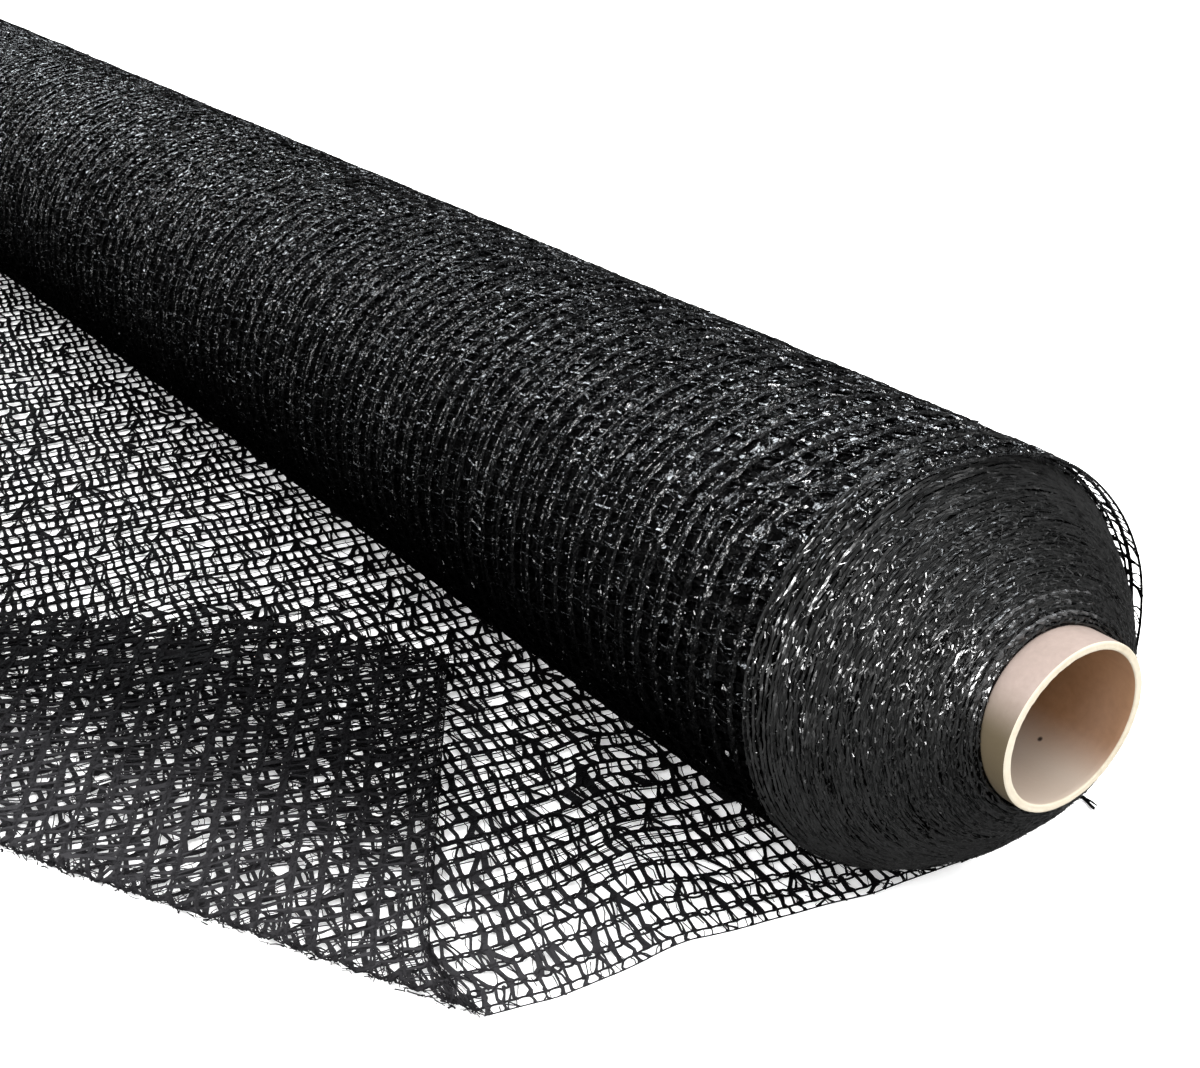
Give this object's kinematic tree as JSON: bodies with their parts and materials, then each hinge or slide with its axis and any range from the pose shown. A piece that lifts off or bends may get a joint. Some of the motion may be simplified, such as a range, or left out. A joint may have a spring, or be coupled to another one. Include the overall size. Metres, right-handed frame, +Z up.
{
  "type": "roll of shade cloth on a cardboard tube",
  "caption": "Roll of open knitted black shade net wound on a cardboard tube, its loose end drawn out flat with one corner folded back.",
  "frame": {"origin": "on the surface the roll lies on, half way along the tube and straight under the roll", "axes": "+X along the tube to the end that is seen in the picture, +Z up, -Y towards the loose end of the cloth"},
  "size_m": [1.3042, 0.5152, 0.149],
  "materials": {
    "cardboard": "matt spiral-wound greyboard, pale raw edge",
    "net_wound": "black tape-yarn net in many turns, slightly shiny",
    "net_loose": "black open tape-yarn net, slightly shiny"
  },
  "bodies": {
    "root": {"core_tube": "cardboard", "cloth_roll": "net_wound", "loose_end": "net_loose"}
  },
  "joints": []
}
